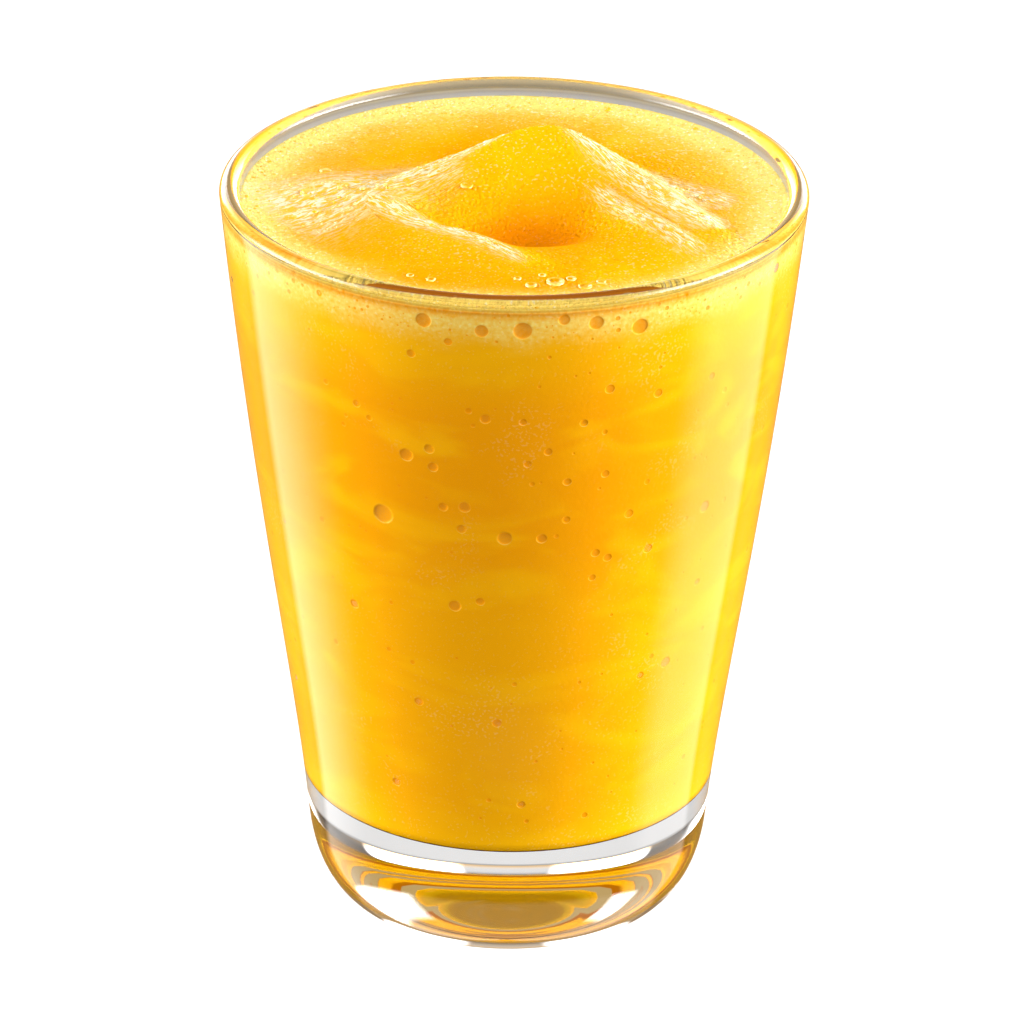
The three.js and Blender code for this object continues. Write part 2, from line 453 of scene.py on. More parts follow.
class BubbleWall:
    """The drink's side against the glass, opened by bubbles, as a net laid out flat and rolled up."""

    # Share of the bubble's radius and of its depth at each ring of points.
    RINGS = ((1.18, 0.0), (1.0, 0.0), (0.94, 0.34), (0.78, 0.63), (0.45, 0.89))
    DEPTH = 0.16
    SEAM = math.pi / 2
    SEAM_MARGIN = 3.0
    FOOT_MARGIN = 1
    BRIM_MARGIN = 0.3
    HALF_SPAN = 0.75
    NEIGHBOUR_SPAN = 0.78
    NEIGHBOUR_GAP = 0.1
    NET_GAP = 0.25
    SMALL_BIAS = 3
    RING_STEP = 0.22
    RING_POINTS = (8, 30)
    # A pale ring at each bubble's mouth, and painted light on its lower edge, where light from above catches
    # the lip.
    RING_FROTH = 0.05
    LOWER_RING_LIGHT = 0.3
    MERGE_DISTANCE = 1e-6

    def __init__(self, shape, reach, top, bottom):
        self.shape = shape
        self.reach = reach
        self.top = top
        self.bottom = bottom
        self.mean_radius = float(shape.bowl_radius((top + bottom) / 2))
        self.width = FULL_TURN * self.mean_radius
        self.bubbles = []

    def place(self, bubble):
        """Where a bubble's middle is on the flat net."""
        turn = math.radians(bubble.turn) - math.pi / 2 - self.SEAM
        return (turn % FULL_TURN) * self.mean_radius

    def fits(self, bubble):
        across, half = self.place(bubble), bubble.width * self.HALF_SPAN
        if not self.SEAM_MARGIN < across < self.width - self.SEAM_MARGIN:
            return False
        if not self.bottom + self.FOOT_MARGIN < bubble.height - half:
            return False
        if not bubble.height + half < self.top - self.BRIM_MARGIN:
            return False
        for other in self.bubbles:
            gap = math.hypot(self.place(other) - across, other.height - bubble.height)
            if gap < self.NEIGHBOUR_SPAN * (other.width + bubble.width) + self.NEIGHBOUR_GAP:
                return False
        return True

    def add(self, bubbles):
        for bubble in bubbles:
            if self.fits(bubble):
                self.bubbles.append(bubble)

    def scatter(self, rng, count, low, high, smallest, largest):
        """Adds bubbles at random, many small and few large ones, between two heights."""
        for _ in range(count):
            width = smallest + (largest - smallest) * rng.random() ** self.SMALL_BIAS
            self.add([Bubble(rng.uniform(0, 360), rng.uniform(low, high), width)])

    def net_points(self):
        """Rows of the plain net, finer in the froth band, without those that bubbles take."""
        band_start = self.top - BAND_DEPTH
        plain = np.arange(self.bottom + WALL_ROW, band_start, WALL_ROW)
        fine = np.arange(band_start + BAND_ROW, self.top - BAND_ROW / 2, BAND_ROW)
        rows = [(z, WALL_COLUMNS) for z in plain] + [(z, BAND_COLUMNS) for z in fine]
        points = []
        for number, (z, columns) in enumerate(rows):
            step = self.width / columns
            shift = step / 2 if number % 2 else 0
            across = np.arange(1, columns) * step - shift
            points.append(np.c_[across, np.full(len(across), z)])
        points = np.vstack(points)
        keep = np.ones(len(points), bool)
        for bubble in self.bubbles:
            gap = np.hypot(points[:, 0] - self.place(bubble), points[:, 1] - bubble.height)
            keep &= gap > self.RINGS[0][0] * bubble.width / 2 + self.NET_GAP
        return points[keep], [z for z, _ in rows]

    def build(self, top_columns, bottom_columns):
        """Flat points with depth, froth and bubble shares, and triangles. The seam's ends are joined."""
        net, seam_heights = self.net_points()
        flat = [(self.width * i / top_columns, self.top) for i in range(top_columns + 1)]
        self.top_row = range(top_columns)
        first = len(flat)
        flat += [(self.width * i / bottom_columns, self.bottom) for i in range(bottom_columns + 1)]
        self.bottom_row = range(first, first + bottom_columns)
        seam = {top_columns: 0, first + bottom_columns: first}
        for z in seam_heights:
            seam[len(flat) + 1] = len(flat)
            flat += [(0, z), (self.width, z)]
        flat += net.tolist()
        depth = [0.0] * len(flat)
        froth = [0.0] * len(flat)
        inside = [0.0] * len(flat)
        edges = []
        for bubble in self.bubbles:
            middle = self.place(bubble)
            radius = bubble.width / 2
            count = int(np.clip(FULL_TURN * radius / self.RING_STEP, *self.RING_POINTS))
            angles = np.arange(count) * FULL_TURN / count
            stretch = self.mean_radius / float(self.shape.bowl_radius(bubble.height))
            for share, sunk in self.RINGS:
                start = len(flat)
                across = middle + share * radius * np.cos(angles) * stretch
                up = bubble.height + share * radius * np.sin(angles)
                flat += np.c_[across, up].tolist()
                depth += [sunk * radius * self.DEPTH] * count
                # Pale ring at the mouth, with painted light added on its lower edge.
                pale = self.RING_FROTH + self.LOWER_RING_LIGHT * np.clip(-np.sin(angles), 0, 1)
                froth += (pale if share == 1.0 else np.zeros(count)).tolist()
                inside += [1.0 if share < 1 else 0.0] * count
                edges += [(start + i, start + (i + 1) % count) for i in range(count)]
            flat.append((middle, bubble.height))
            depth.append(radius * self.DEPTH)
            froth.append(0.0)
            inside.append(1.0)
        points = [Vector(p) for p in flat]
        _, _, faces, origin, _, _ = delaunay_2d_cdt(points, edges, [], 0, self.MERGE_DISTANCE)
        number = [seam.get(o[0], o[0]) for o in origin]
        triangles = [tuple(number[v] for v in face) for face in faces]
        return np.array(flat), np.array(depth), np.array(froth), np.array(inside), triangles

    def roll_up(self, flat, depth):
        """Puts flat points on the drink's side, sunk in by their depth."""
        turn = self.SEAM + flat[:, 0] / self.mean_radius
        radius = self.shape.bowl_radius(flat[:, 1]) + self.reach - depth
        return np.c_[radius * np.cos(turn), radius * np.sin(turn), flat[:, 1]]


def mesh_object(name, verts_mm, faces, materials):
    """A smooth-shaded mesh object in metres, linked to the scene."""
    if not faces:
        raise RuntimeError(f"{name} has no faces, so it can't be made")
    mesh = bpy.data.meshes.new(name)
    mesh.from_pydata((np.asarray(verts_mm) * MM).tolist(), [], faces)
    mesh.shade_smooth()
    for material in materials:
        mesh.materials.append(material)
    piece = bpy.data.objects.new(name, mesh)
    bpy.context.scene.collection.objects.link(piece)
    return piece


def add_share(piece, name, values):
    """A number or a vector for each point that the materials read."""
    values = np.asarray(values, np.float32)
    if values.ndim == 1:
        piece.data.attributes.new(name, "FLOAT", "POINT").data.foreach_set("value", values)
    else:
        piece.data.attributes.new(name, "FLOAT_VECTOR", "POINT").data.foreach_set("vector", values.ravel())


def ring_faces(lower, upper):
    """Quads between two rings of vertex numbers that run the same way round."""
    count = len(lower)
    return [
        (lower[i], lower[(i + 1) % count], upper[(i + 1) % count], upper[i]) for i in range(count)
    ]


def lathe(profile, segments):
    """Vertices and outward faces of a profile turned round Z. It starts and ends on the axis."""
    angles = np.arange(segments) * FULL_TURN / segments
    verts = [(0, 0, profile[0][1])]
    rings = []
    for r, z in profile[1:-1]:
        rings.append(range(len(verts), len(verts) + segments))
        verts.extend(np.c_[r * np.cos(angles), r * np.sin(angles), np.full(segments, z)].tolist())
    last = len(verts)
    verts.append((0, 0, profile[-1][1]))
    faces = [(0, rings[0][(i + 1) % segments], rings[0][i]) for i in range(segments)]
    for lower, upper in zip(rings, rings[1:]):
        faces.extend(ring_faces(lower, upper))
    faces.extend((last, rings[-1][i], rings[-1][(i + 1) % segments]) for i in range(segments))
    return verts, faces


def disc_grid(cells, radius):
    """A square grid of points bent into a disc, its quads, and its rim in order round Z."""
    a, b = np.meshgrid(np.linspace(-1, 1, cells + 1), np.linspace(-1, 1, cells + 1), indexing="ij")
    wide = np.abs(a) >= np.abs(b)
    safe_a, safe_b = np.where(a == 0, 1, a), np.where(b == 0, 1, b)
    r = np.where(wide, a, b)
    angle = np.where(wide, math.pi / 4 * b / safe_a, math.pi / 2 - math.pi / 4 * a / safe_b)
    x, y = radius * r * np.cos(angle), radius * r * np.sin(angle)
    number = np.arange((cells + 1) ** 2).reshape(cells + 1, cells + 1)
    quads = np.stack([number[:-1, :-1], number[1:, :-1], number[1:, 1:], number[:-1, 1:]], -1)
    rim = np.concatenate(
        [number[-1, :-1], number[::-1, -1][:-1], number[0, ::-1][:-1], number[:-1, 0]]
    )
    return x.ravel(), y.ravel(), quads.reshape(-1, 4), rim


class ShaderTree:
    """Short ways to add nodes to a material's or a world's node tree."""

    def __init__(self, tree):
        self.tree = tree
        tree.nodes.clear()

    def node(self, kind, inputs=(), **settings):
        made = self.tree.nodes.new(kind)
        for name, value in settings.items():
            setattr(made, name, value)
        for name, value in dict(inputs).items():
            self.feed(made.inputs[name], value)
        return made

    def feed(self, socket, value):
        if isinstance(value, bpy.types.NodeSocket):
            self.tree.links.new(value, socket)
        else:
            socket.default_value = value

    def math(self, operation, *values, clamp=False):
        made = self.node("ShaderNodeMath", operation=operation, use_clamp=clamp)
        for socket, value in zip(made.inputs, values):
            self.feed(socket, value)
        return made.outputs[0]

    def ramp(self, value, low, high, out_low=0.0, out_high=1.0):
        """A smooth step of a value from one number to another."""
        made = self.node("ShaderNodeMapRange", interpolation_type="SMOOTHSTEP")
        for socket, number in zip(made.inputs, (value, low, high, out_low, out_high)):
            self.feed(socket, number)
        return made.outputs[0]

    def blend(self, share, first, second):
        """Mix of two colours."""
        made = self.node("ShaderNodeMix", data_type="RGBA")
        for socket, value in zip((made.inputs[0], made.inputs[6], made.inputs[7]), (share, first, second)):
            self.feed(socket, value)
        return made.outputs[2]

    def noise(self, place, size, detail=2.0, distortion=0.0):
        """Noise from 0 to 1 with features of a size in metres."""
        inputs = {"Vector": place, "Scale": 1 / size, "Detail": detail, "Distortion": distortion}
        return self.node("ShaderNodeTexNoise", inputs).outputs["Fac"]

    def share(self, name):
        return self.node("ShaderNodeAttribute", attribute_name=name).outputs["Fac"]


def new_material(name):
    material = bpy.data.materials.new(name)
    material.use_nodes = True
    tree = ShaderTree(material.node_tree)
    output = tree.node("ShaderNodeOutputMaterial")
    return material, tree, output


WHITE = (1, 1, 1, 1)
# Painted reflection of the drink: amber in the outer half of the lip, in fine layers. Painted glow: gold
# light in the wall above the base.
LIP_HEIGHTS = (0.1138, 0.1152)
LIP_RADII = (0.0418, 0.043)
LIP_LAYER = 0.0006
LIP_LAYER_EDGES = (0.38, 0.62)
LIP_REFLECTION_DARK = (0.42, 0.29, 0.1, 1)
LIP_REFLECTION_LIGHT = (0.85, 0.68, 0.38, 1)
THIN_GLASS = (0.97, 0.98, 0.975, 1)
WALL_GOLD_GLOW = (0.55, 0.37, 0.14, 1)
GOLD_HEIGHTS = (0.03, 0.04)
GOLD_BOUNCES = 1.5
GLASS_IOR = 1.5


def clear_glass():
    """Clear polished glass that lets light through to the drink without a hard shadow, with a painted amber
    reflection in the lip and a painted gold glow low in the wall.
    """
    material, tree, output = new_material("clear_glass")
    place = tree.node("ShaderNodeTexCoord").outputs["Object"]
    x, y, z = tree.node("ShaderNodeSeparateXYZ", {"Vector": place}).outputs
    square = tree.math("MULTIPLY_ADD", x, x, tree.math("MULTIPLY", y, y))
    radius = tree.math("SQRT", square)
    at_rim = tree.ramp(z, *LIP_HEIGHTS)
    layers = tree.node("ShaderNodeCombineXYZ", {"X": radius, "Y": 0.0, "Z": z}).outputs[0]
    layer = tree.ramp(tree.noise(layers, LIP_LAYER, 1), *LIP_LAYER_EDGES)
    # Painted reflection of the drink: amber layers in the outer half of the lip.
    painted_amber = tree.blend(layer, LIP_REFLECTION_DARK, LIP_REFLECTION_LIGHT)
    outer = tree.math("MULTIPLY", at_rim, tree.ramp(radius, *LIP_RADII))
    tint = tree.blend(outer, WHITE, painted_amber)
    polish = {"Base Color": tint, "Roughness": 0.0, "IOR": GLASS_IOR, "Transmission Weight": 1.0}
    glass = tree.node("ShaderNodeBsdfPrincipled", polish)
    clear = tree.node("ShaderNodeBsdfTransparent", {"Color": THIN_GLASS})
    path = tree.node("ShaderNodeLightPath")
    soft = tree.math("MAXIMUM", path.outputs["Is Shadow Ray"], path.outputs["Is Diffuse Ray"])
    mix = tree.node("ShaderNodeMixShader")
    for socket, value in zip(mix.inputs, (soft, glass.outputs[0], clear.outputs[0])):
        tree.feed(socket, value)
    # Painted glow: gold light in the wall above the base, where a ray has been mirrored more than once.
    gold_glow = tree.node("ShaderNodeEmission", {"Color": WALL_GOLD_GLOW})
    trapped = tree.math("GREATER_THAN", path.outputs["Glossy Depth"], GOLD_BOUNCES)
    trapped = tree.math("MULTIPLY", trapped, tree.ramp(z, *GOLD_HEIGHTS))
    rim = tree.node("ShaderNodeMixShader")
    for socket, value in zip(rim.inputs, (trapped, mix.outputs[0], gold_glow.outputs[0])):
        tree.feed(socket, value)
    tree.feed(output.inputs["Surface"], rim.outputs[0])
    return material


def colour(values):
    return (*values, 1)


# Puree: slanted swirls, pulp, specks of foam and clusters of them, the specks partly a painted sparkle.
# Sizes are in metres.
SWIRL_TILT = 0.6
SWIRL_STRETCH = 2.2
SWIRL_SIZE = 0.017
SWIRL_BEND = 0.8
SWIRL_EDGES = (0.45, 0.72)
PULP_SIZE = 0.0006
FROTH_GRAIN = 2.6
FROTH_FULL = 1.3
THREAD_STRETCH = (0.5, 3.0, 1)
THREAD_BEND = 0.6
THREAD_EDGES = (0.47, 0.6)
SPECK_SIZE = 0.0004
SPECK_EDGES = (0.66, 0.76)
SPECKS_IN_FROTH = 0.8
SPECKS_IN_LIGHT = 0.3
SPECKS_ELSEWHERE = 0.05
CLUSTER_SIZE = 0.011
CLUSTER_BEND = 0.5
CLUSTER_EDGES = (0.56, 0.7)
CLUSTER_SPECK_EDGES = (0.56, 0.68)
CLUSTER_AMOUNT = 0.05
LUMPS_IN_FROTH = 0.3
LUMPS_ELSEWHERE = 0.6
LUMPS_OF_THREADS = 0.6
LUMP_DISTANCE = 0.0007

# Painted shadow at the bottom edge, and bubble skin: patches of two colours.
PATCH_EDGES = (0.35, 0.65)
EDGE_PATCH = 0.003
EDGE_SHADOW_BROWN = (0.12, 0.04, 0.003, 1)
EDGE_SHADOW_AMBER = (0.3, 0.13, 0.008, 1)
SKIN_PATCH = 0.0015


def smoothie_material(name, colours, specular, roughness, bump, specks):
    """Mango puree with paler swirls, pulp grain, pale froth, drawn-out foam threads and white specks, both
    partly painted glints, with painted light and painted shade.
    """
    material, tree, output = new_material(name)
    place = tree.node("ShaderNodeTexCoord").outputs["Object"]
    slanted = {"Vector": place, "Rotation": (0.0, SWIRL_TILT, 0.0), "Scale": (1, 1, SWIRL_STRETCH)}
    swirl = tree.noise(tree.node("ShaderNodeMapping", slanted).outputs[0], SWIRL_SIZE, 2, SWIRL_BEND)
    pulp = tree.noise(place, PULP_SIZE, 1)
    foam = tree.noise(place, SPECK_SIZE, 0)
    base = tree.blend(tree.ramp(swirl, *SWIRL_EDGES), colour(colours.body), colour(colours.swirl))
    # Painted light: paler puree where more light falls.
    base = tree.blend(tree.share("painted_light"), base, colour(colours.painted_light))
    # Painted shade: darker puree in hollows, in bubbles and just under the brim.
    base = tree.blend(tree.share("painted_shade"), base, colour(colours.painted_shade))

    froth = tree.share("froth")
    uneven = tree.math("MULTIPLY", tree.math("SUBTRACT", pulp, 0.5), FROTH_GRAIN)
    thin = tree.math("MULTIPLY", froth, tree.math("SUBTRACT", FROTH_FULL, froth))
    froth = tree.math("MULTIPLY_ADD", uneven, thin, froth, clamp=True)
    base = tree.blend(froth, base, colour(colours.froth))

    flow = tree.node("ShaderNodeAttribute", attribute_name="flow").outputs["Vector"]
    stretched = tree.node("ShaderNodeMapping", {"Vector": flow, "Scale": THREAD_STRETCH})
    thread = tree.noise(stretched.outputs[0], 1.0, 1, THREAD_BEND)
    # Foam threads: pale foam, partly a painted glint.
    thread = tree.math("MULTIPLY", tree.ramp(thread, *THREAD_EDGES), tree.share("streak"))
    base = tree.blend(thread, base, colour(colours.foam))

    # White specks: pale foam, partly a painted sparkle, more of them where the painted light is.
    crowd = tree.math("MULTIPLY_ADD", tree.share("painted_light"), SPECKS_IN_LIGHT, SPECKS_ELSEWHERE)
    crowd = tree.math("MULTIPLY_ADD", froth, SPECKS_IN_FROTH, crowd)
    crowd = tree.math("MULTIPLY", crowd, specks)
    speck = tree.math("MULTIPLY", tree.ramp(foam, *SPECK_EDGES), crowd)
    cluster = tree.ramp(tree.noise(place, CLUSTER_SIZE, 1, CLUSTER_BEND), *CLUSTER_EDGES)
    cluster = tree.math("MULTIPLY", cluster, CLUSTER_AMOUNT)
    speck = tree.math("MULTIPLY_ADD", tree.ramp(foam, *CLUSTER_SPECK_EDGES), cluster, speck)
    base = tree.blend(speck, base, colour(colours.foam))

    lumps = tree.math("MULTIPLY", pulp, tree.math("MULTIPLY_ADD", froth, LUMPS_IN_FROTH, LUMPS_ELSEWHERE))
    lumps = tree.math("ADD", lumps, tree.math("MULTIPLY", thread, LUMPS_OF_THREADS))
    lumps = tree.node("ShaderNodeBump", {"Strength": bump, "Distance": LUMP_DISTANCE, "Height": lumps})
    finish = {
        "Base Color": base,
        "Roughness": roughness,
        "Specular IOR Level": specular,
        "Normal": lumps.outputs[0],
    }
    puree = tree.node("ShaderNodeBsdfPrincipled", finish)
    tree.feed(output.inputs["Surface"], puree.outputs[0])
    return material


def edge_shadow(colours):
    """Painted shadow: dark brown puree along the bottom edge, where hardly any light gets in."""
    material, tree, output = new_material("smoothie_bottom_edge_shadow")
    place = tree.node("ShaderNodeTexCoord").outputs["Object"]
    patchy = tree.ramp(tree.noise(place, EDGE_PATCH), *PATCH_EDGES)
    base = tree.blend(patchy, EDGE_SHADOW_BROWN, EDGE_SHADOW_AMBER)
    # Seen in a mirror, the edge shows the painted-light puree colour instead of its painted shadow.
    mirrored = tree.node("ShaderNodeLightPath").outputs["Glossy Depth"]
    base = tree.blend(tree.math("GREATER_THAN", mirrored, 0.5), base, colour(colours.painted_light))
    finish = {"Base Color": base, "Roughness": 0.6, "Specular IOR Level": 0.0}
    tree.feed(output.inputs["Surface"], tree.node("ShaderNodeBsdfPrincipled", finish).outputs[0])
    return material


def froth_bubble(colours):
    """Thin wet skin of a bubble, between the puree and the froth in colour."""
    material, tree, output = new_material("froth_bubble")
    place = tree.node("ShaderNodeTexCoord").outputs["Object"]
    patchy = tree.ramp(tree.noise(place, SKIN_PATCH), *PATCH_EDGES)
    # Bubble skin in patches of the painted-light puree colour and the froth colour.
    base = tree.blend(patchy, colour(colours.painted_light), colour(colours.froth))
    finish = {"Base Color": base, "Roughness": 0.12, "Specular IOR Level": 0.6}
    tree.feed(output.inputs["Surface"], tree.node("ShaderNodeBsdfPrincipled", finish).outputs[0])
    return material


class SmoothieGlassSizes(bpy.types.PropertyGroup):
    """Sizes of the tumbler."""

    height: FloatProperty(
        name="Height", description="Foot to lip", default=GLASS_HIGH.z, unit="LENGTH"
    )
    rim_radius: FloatProperty(
        name="Rim radius", description="Outside of the wall", default=GLASS_HIGH.x, unit="LENGTH"
    )
    wall: FloatProperty(name="Wall", description="Thickness of the wall", default=3 * MM, unit="LENGTH")
    lip_crown: FloatProperty(
        name="Lip crown", description="Rise of the rounded lip", default=1.2 * MM, unit="LENGTH"
    )
    heel_radius: FloatProperty(
        name="Heel radius", description="Outside at the top of the heel", default=30.7 * MM, unit="LENGTH"
    )
    heel_height: FloatProperty(
        name="Heel height", description="Height of the rounded heel", default=13 * MM, unit="LENGTH"
    )
    foot_radius: FloatProperty(
        name="Foot radius", description="Outside of the flat foot", default=22 * MM, unit="LENGTH"
    )
    punt_radius: FloatProperty(
        name="Punt radius", description="Hollow under the foot", default=15 * MM, unit="LENGTH"
    )
    punt_rise: FloatProperty(
        name="Punt rise", description="Depth of that hollow", default=0.3 * MM, unit="LENGTH"
    )
    floor: FloatProperty(
        name="Base thickness", description="Where the drink starts", default=19.8 * MM, unit="LENGTH"
    )
    floor_fillet: FloatProperty(
        name="Inner corner", description="Round between floor and wall", default=2 * MM, unit="LENGTH"
    )


class SmoothieDrinkSizes(bpy.types.PropertyGroup):
    """Sizes of the drink."""

    level: FloatProperty(
        name="Level", description="Height of the drink at the wall", default=114.2 * MM, unit="LENGTH"
    )
    peak_rise: FloatProperty(
        name="Peak rise", description="Height of the peak above the level", default=6.3 * MM, unit="LENGTH"
    )
    reach: FloatProperty(
        name="Reach", description="How far the drink reaches into the wall", default=0.08 * MM, unit="LENGTH"
    )
    wall_bubbles: IntProperty(
        name="Wall bubbles", description="Small bubbles scattered on the glass", default=330
    )
    froth_bubbles: IntProperty(
        name="Froth bubbles", description="Small bubbles in the froth under the brim", default=420
    )
    top_bubbles: IntProperty(
        name="Top bubbles", description="Small bubbles that stand on the froth", default=1500
    )
    seed: IntProperty(name="Seed", description="Start of the random places", default=7)


class SmoothieColours(bpy.types.PropertyGroup):
    """Colours of the drink."""

    body: FloatVectorProperty(
        name="Body", description="Ripe mango puree", default=(0.94, 0.355, 0.001),
        subtype="COLOR", min=0, max=1,
    )
    swirl: FloatVectorProperty(
        name="Swirls", description="Paler puree", default=(0.99, 0.44, 0.002),
        subtype="COLOR", min=0, max=1,
    )
    # Painted light: a paler puree colour put on the crests, on the right side, on the foam and at some
    # heights of the side, where more light falls.
    painted_light: FloatVectorProperty(
        name="Sunny", description="Airy puree on crests", default=(1.0, 0.54, 0.002),
        subtype="COLOR", min=0, max=1,
    )
    froth: FloatVectorProperty(
        name="Froth", description="Fine pale foam", default=(1.0, 0.78, 0.2),
        subtype="COLOR", min=0, max=1,
    )
    # Whitest foam for threads and specks, partly a painted glint.
    foam: FloatVectorProperty(
        name="Foam threads", description="Whitest foam", default=(1.0, 0.92, 0.62),
        subtype="COLOR", min=0, max=1,
    )
    # Painted shade: a darker, redder puree colour put in hollows, in bubbles and just under the brim, where
    # less light falls.
    painted_shade: FloatVectorProperty(
        name="Deep", description="In hollows and bubbles", default=(0.94, 0.29, 0.001),
        subtype="COLOR", min=0, max=1,
    )


class SmoothieStageSettings(bpy.types.PropertyGroup):
    """Camera, floor and light."""

    pitch: FloatProperty(
        name="Camera pitch", description="Look down", default=math.radians(25.32), subtype="ANGLE"
    )
    roll: FloatProperty(
        name="Camera roll", description="Tilt of the picture", default=math.radians(0.643), subtype="ANGLE"
    )
    distance: FloatProperty(
        name="Camera distance", description="From the glass", default=1.1, unit="LENGTH"
    )
    lens: FloatProperty(name="Lens", description="Focal length in millimetres", default=253.6)
    right_light: FloatProperty(name="Right light", description="Soft box at the right", default=16.0)
    left_light: FloatProperty(name="Left light", description="Soft box at the left", default=13.8)
    kicker_light: FloatProperty(name="Kickers", description="Two lights behind the glass", default=7.0)
    back_light: FloatProperty(name="Back", description="Weak light between the two", default=0.7)
    fill_light: FloatProperty(name="Fill", description="Even light from the sky", default=0.15)
    left_mirror: FloatProperty(name="Left strip", description="Strip mirrored at the left", default=1.9)
    right_mirror: FloatProperty(name="Right strip", description="Strip mirrored at the right", default=1.3)


def move_to_body(piece, slot, *nodes):
    """Puts a finished piece on the part's one body, in place of plain solids."""
    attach(piece, "root")
    if nodes:
        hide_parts(*nodes)


class SMOOTHIE_OT_make_glass(bpy.types.Operator):
    """Make the clear tumbler"""

    bl_idname = "smoothie.make_glass"
    bl_label = "Make glass"

    def execute(self, context):
        shape = GlassShape(context.scene.smoothie_glass)
        verts, faces = lathe(shape.profile(), GLASS_SEGMENTS)
        piece = mesh_object("clear_tumbler", verts, faces, [clear_glass()])
        move_to_body(piece, "clear_glass", "glass_tumbler")
        return {"FINISHED"}


class SMOOTHIE_OT_make_drink(bpy.types.Operator):
    """Make the smoothie with its whipped top and the bubbles on the glass"""

    bl_idname = "smoothie.make_drink"
    bl_label = "Make smoothie"

    def execute(self, context):
        shape = GlassShape(context.scene.smoothie_glass)
        sizes = context.scene.smoothie_drink
        colours = context.scene.smoothie_colours
        rng = random.Random(sizes.seed)
        reach = sizes.reach / MM
        brim_height = sizes.level / MM + MENISCUS_RISE
        brim = float(shape.bowl_radius(brim_height)) + reach

        x, y, quads, rim = disc_grid(TOP_CELLS, brim)
        height, top_froth, streak, painted_shade, painted_light, flow = WhippedTop(sizes, brim).surface(x, y)
        height[rim] = brim_height

        bottom = shape.floor + shape.fillet
        wall = BubbleWall(shape, reach, brim_height, bottom)
        wall.add(FROTH_BUBBLES)
        wall.add(WALL_BUBBLES)
        large_count = sizes.froth_bubbles // LARGE_SHARE
        low, high = brim_height - LARGE_BAND[0], brim_height - LARGE_BAND[1]
        wall.scatter(rng, large_count, low, high, *LARGE_WIDTHS)
        low, high = brim_height - FINE_BAND[0], brim_height - FINE_BAND[1]
        wall.scatter(rng, sizes.froth_bubbles, low, high, *FINE_WIDTHS)
        low, high = bottom + LOWEST_BUBBLE, brim_height - HIGHEST_BUBBLE
        wall.scatter(rng, sizes.wall_bubbles, low, high, *SCATTER_WIDTHS)
        flat, depth, ring_pale_and_lit, inside, triangles = wall.build(len(rim), WALL_COLUMNS)
        side_points = wall.roll_up(flat, depth)
        across, up = flat.T
        wave = noise_field(across / BAND_WAVE_LENGTH, up / BAND_WAVE_HEIGHT, across * 0)
        band = smoothstep(up + BAND_WAVE * wave, brim_height - BAND_EDGES[0], brim_height - BAND_EDGES[1])
        # Painted shade just under the brim: darker puree and less froth.
        brim_shade = smoothstep(up, brim_height - BRIM_SHADE_EDGES[0], brim_height - BRIM_SHADE_EDGES[1])
        band = BAND_FROTH * band * (1 - BRIM_SHADE_FROTH * brim_shade)
        side_froth = np.clip(np.maximum(band, ring_pale_and_lit) * (1 - BUBBLE_LOSS * inside), 0, 1)

        verts = np.c_[x, y, height].tolist()
        faces = quads.tolist()
        foamy = streak[quads].max(axis=1) > FOAM_FACE
        slots = np.where(foamy, MATERIAL_FOAM, MATERIAL_TOP).tolist()
        first = len(verts)
        verts += side_points.tolist()
        number = np.arange(len(flat)) + first
        seam_start = int(np.argmin(np.abs(np.arctan2(y[rim], x[rim]) - wall.SEAM)))
        number[: len(rim)] = np.roll(rim, -seam_start)
        for a, b, c in triangles:
            faces.append((number[a], number[b], number[c]))
            in_bubble = max(inside[a], inside[b], inside[c]) > 0
            slots.append(MATERIAL_BUBBLE if in_bubble else MATERIAL_WALL)

        upper = [int(number[i]) for i in wall.bottom_row]
        turns = wall.SEAM + np.arange(WALL_COLUMNS) * FULL_TURN / WALL_COLUMNS
        for r, z in shape.bowl_bottom(reach)[-2:0:-1]:
            start = len(verts)
            # Rings just above the floor get the painted shadow.
            edge = EDGE_LOW < z - shape.floor < EDGE_HIGH
            verts += np.c_[r * np.cos(turns), r * np.sin(turns), np.full(WALL_COLUMNS, z)].tolist()
            lower = list(range(start, start + WALL_COLUMNS))
            faces += ring_faces(lower, upper)
            slots += [MATERIAL_EDGE_SHADOW if edge else MATERIAL_WALL] * WALL_COLUMNS
            upper = lower
        verts.append((0, 0, shape.floor - reach))
        faces += [(len(verts) - 1, upper[(i + 1) % WALL_COLUMNS], upper[i]) for i in range(WALL_COLUMNS)]
        slots += [MATERIAL_WALL] * (len(faces) - len(slots))

        # Each puree has its own specular level, roughness, bump and amount of specks.
        materials = [
            smoothie_material("smoothie_top", colours, 0.0, 0.5, 1.0, 1.0),
            smoothie_material("smoothie_in_glass", colours, 0.0, 0.6, 0.06, 0.25),
            smoothie_material("smoothie_in_bubbles", colours, 0.0, 0.4, 0.0, 0.0),
            smoothie_material("smoothie_foam", colours, 0.25, 0.2, 0.4, 1.0),
            edge_shadow(colours),
        ]
        piece = mesh_object("mango_smoothie_drink", verts, faces, materials)
        piece.data.polygons.foreach_set("material_index", slots)
        spare = np.zeros(len(verts) - first - len(flat))
        add_share(piece, "froth", np.concatenate([top_froth, side_froth, spare]))
        # Painted shade just under the brim and inside the bubbles on the glass.
        side_painted_shade = np.maximum(BRIM_SHADE_SHARE * brim_shade, BUBBLE_SHADE * inside)
        add_share(piece, "painted_shade", np.concatenate([painted_shade, side_painted_shade, spare]))
        side_height = np.array(verts)[first:, 2]
